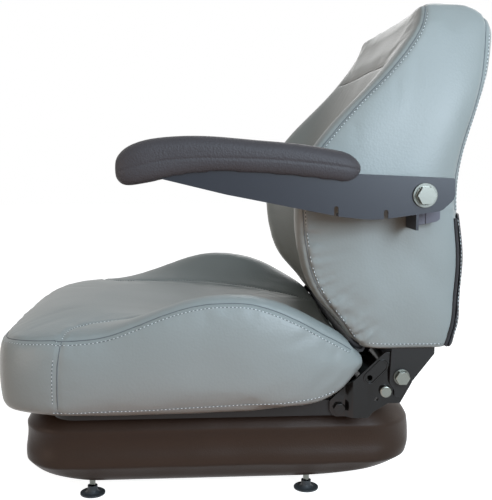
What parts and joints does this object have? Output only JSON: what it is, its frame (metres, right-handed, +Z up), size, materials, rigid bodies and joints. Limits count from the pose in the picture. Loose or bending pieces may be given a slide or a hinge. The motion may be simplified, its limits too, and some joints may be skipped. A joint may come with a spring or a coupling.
{
  "type": "ride on mower seat",
  "caption": "Grey vinyl ride on mower seat with a contoured cushion and backrest, folding armrests and a sprung base under a black boot.",
  "frame": {"origin": "centre of the four mounting studs on the mounting plane, which is the underside of the base tray", "axes": "+X to the sitter's left, +Y to the rear of the seat, +Z up"},
  "size_m": [0.5656, 0.625, 0.6387],
  "materials": {
    "grey_vinyl": "satin vinyl",
    "black_vinyl": "satin vinyl",
    "boot_rubber": "soft sheen",
    "pad_skin_foam": "fine grain",
    "satin_black_steel": "satin paint",
    "gloss_black_steel": "gloss paint",
    "matt_black_steel": "matt paint",
    "zinc_steel": "bright zinc",
    "spring_steel": "oiled",
    "black_plastic": "moulded",
    "roller_nylon": "moulded",
    "bump_rubber": "moulded"
  },
  "bodies": {
    "base": {"base_tray": "matt_black_steel", "mounting_studs": "zinc_steel", "stud_feet": "black_plastic", "lower_shaft": "zinc_steel", "bump_stops": "bump_rubber", "suspension_boot": "boot_rubber", "suspension_spring_left": "spring_steel", "suspension_spring_right": "spring_steel"},
    "seat": {"top_plate": "matt_black_steel", "pan_bolts": "zinc_steel", "upper_shaft": "zinc_steel", "seat_pan": "matt_black_steel", "seat_cushion": "grey_vinyl", "back_frame": "matt_black_steel", "backrest_cushion": "grey_vinyl", "rear_cover": "black_vinyl", "hinge_bracket_left": "gloss_black_steel", "hinge_bracket_right": "gloss_black_steel", "ear_bolts": "zinc_steel", "ear_nuts": "zinc_steel", "hinge_bolts": "zinc_steel", "hinge_washers": "zinc_steel", "hinge_nuts": "zinc_steel", "stop_bolts": "zinc_steel", "stop_nuts": "zinc_steel", "pivot_bush_left": "satin_black_steel", "pivot_bush_right": "satin_black_steel", "arm_bolts": "zinc_steel", "arm_washers": "zinc_steel", "arm_nuts": "zinc_steel", "armrest_stop_left": "black_plastic", "armrest_stop_right": "black_plastic"},
    "inner_links": {"inner_link_left": "matt_black_steel", "inner_link_right": "matt_black_steel", "centre_pins": "zinc_steel", "upper_roller_axles": "zinc_steel"},
    "outer_links": {"outer_link_left": "matt_black_steel", "outer_link_right": "matt_black_steel", "lower_roller_axles": "zinc_steel"},
    "upper_roller_left": {"upper_roller_left": "roller_nylon"},
    "upper_roller_right": {"upper_roller_right": "roller_nylon"},
    "lower_roller_left": {"lower_roller_left": "roller_nylon"},
    "lower_roller_right": {"lower_roller_right": "roller_nylon"},
    "armrest_left": {"armrest_bracket_left": "satin_black_steel", "armrest_pad_left": "pad_skin_foam", "pad_screws_left": "zinc_steel"},
    "armrest_right": {"armrest_bracket_right": "satin_black_steel", "armrest_pad_right": "pad_skin_foam", "pad_screws_right": "zinc_steel"}
  },
  "joints": [
    {"name": "suspension_travel", "type": "slide", "parent": "base", "child": "seat", "axis": [0, 0, 1], "range_m": [-0.04, 0], "stiffness_N_per_m": 12000, "springref_m": 0.03, "deforming": ["suspension_boot", "suspension_spring_left", "suspension_spring_right"]},
    {"name": "inner_links_swing", "type": "hinge", "parent": "base", "child": "inner_links", "pos_m": [0, 0.122, 0.0164], "axis": [1, 0, 0], "range_deg": [0, 9.36]},
    {"name": "outer_links_swing", "type": "hinge", "parent": "seat", "child": "outer_links", "pos_m": [0, 0.122, 0.0786], "axis": [1, 0, 0], "range_deg": [-9.36, 0]},
    {"name": "armrest_left_fold", "type": "hinge", "parent": "seat", "child": "armrest_left", "pos_m": [0.271, 0.256, 0.377], "axis": [-1, 0, 0], "range_deg": [0, 100]},
    {"name": "armrest_right_fold", "type": "hinge", "parent": "seat", "child": "armrest_right", "pos_m": [-0.271, 0.256, 0.377], "axis": [-1, 0, 0], "range_deg": [0, 100]},
    {"name": "upper_roller_left_spin", "type": "hinge", "parent": "inner_links", "child": "upper_roller_left", "pos_m": [0.092, -0.12014, 0.0786], "axis": [1, 0, 0], "continuous": true},
    {"name": "upper_roller_right_spin", "type": "hinge", "parent": "inner_links", "child": "upper_roller_right", "pos_m": [-0.092, -0.12014, 0.0786], "axis": [1, 0, 0], "continuous": true},
    {"name": "lower_roller_left_spin", "type": "hinge", "parent": "outer_links", "child": "lower_roller_left", "pos_m": [0.135, -0.12014, 0.0164], "axis": [1, 0, 0], "continuous": true},
    {"name": "lower_roller_right_spin", "type": "hinge", "parent": "outer_links", "child": "lower_roller_right", "pos_m": [-0.135, -0.12014, 0.0164], "axis": [1, 0, 0], "continuous": true}
  ],
  "couplings": [
    {"joint": "inner_links_swing", "follows": "suspension_travel", "rad_per_m": -4.0631},
    {"joint": "outer_links_swing", "follows": "suspension_travel", "rad_per_m": 4.0631}
  ]
}
